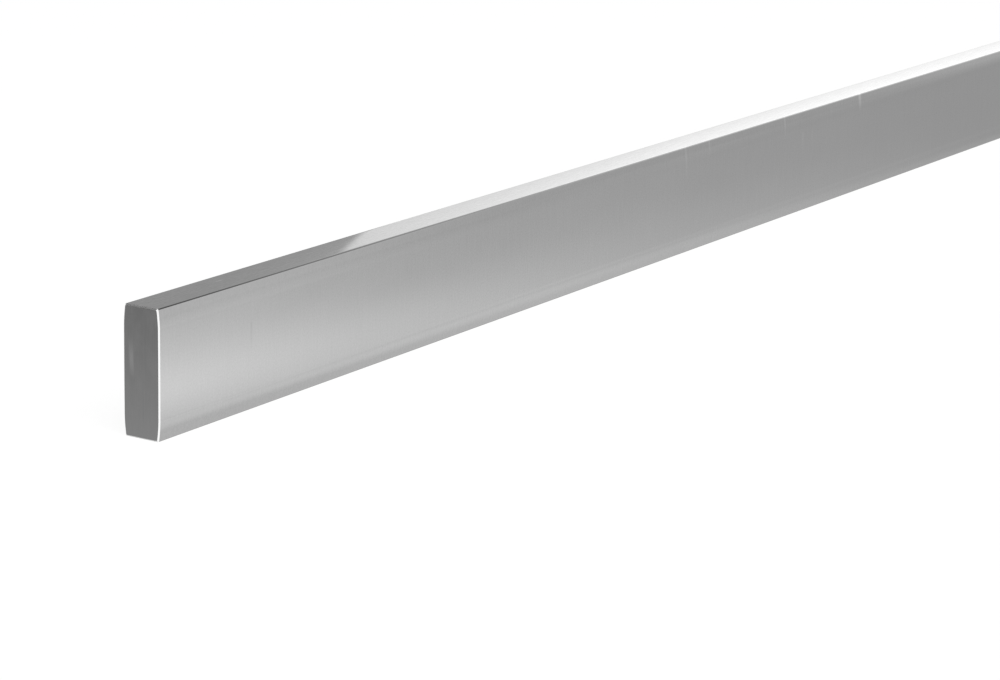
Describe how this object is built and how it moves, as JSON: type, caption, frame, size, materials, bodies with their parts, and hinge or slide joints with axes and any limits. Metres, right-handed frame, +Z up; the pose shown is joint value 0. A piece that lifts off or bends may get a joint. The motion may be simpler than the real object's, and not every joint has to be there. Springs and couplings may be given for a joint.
{
  "type": "metal flat bar",
  "caption": "Straight solid steel flat bar with polished broad faces, gently eased long edges and deburred square-cut ends.",
  "frame": {"origin": "middle of the narrow face that the bar stands on, halfway along its length", "axes": "+X along the bar's length, +Y through its thickness from one broad face to the other, +Z up its broad faces"},
  "size_m": [0.5, 0.01, 0.03],
  "materials": {
    "polished_steel": "polished"
  },
  "bodies": {
    "root": {"flat_bar": "polished_steel"}
  },
  "joints": []
}
